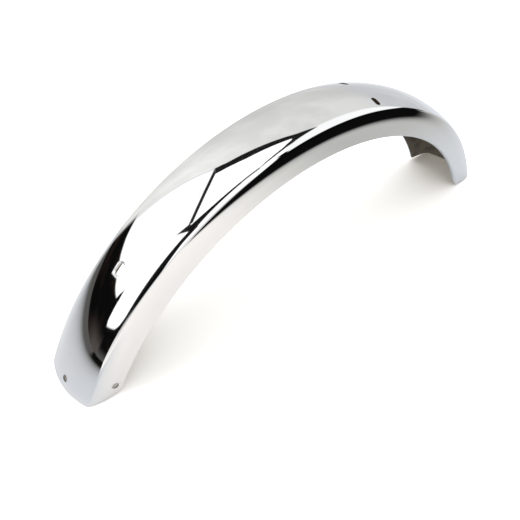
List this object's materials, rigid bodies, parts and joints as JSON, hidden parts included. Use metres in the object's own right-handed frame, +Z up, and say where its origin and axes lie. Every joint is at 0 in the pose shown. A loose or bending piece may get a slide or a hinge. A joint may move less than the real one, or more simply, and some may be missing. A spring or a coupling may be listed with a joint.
{
  "type": "motorcycle front mudguard",
  "caption": "One-piece chromed steel front mudguard for a light motorcycle: a long arc with a shallow crown, plain skirts, turned-in lips and bolt holes.",
  "frame": {"origin": "on the floor, midway between the two ends and midway across the wheel", "axes": "+X along the wheel towards the front end, +Y along the wheel's axis, +Z up; the wheel's axis lies 119.6 mm below the floor"},
  "size_m": [0.5502, 0.0724, 0.1804],
  "materials": {
    "chrome": "bright chrome plate on pressed steel, with fine wiping scratches; duller and slightly brown inside"
  },
  "bodies": {
    "root": {"mudguard_shell": "chrome"}
  },
  "joints": []
}
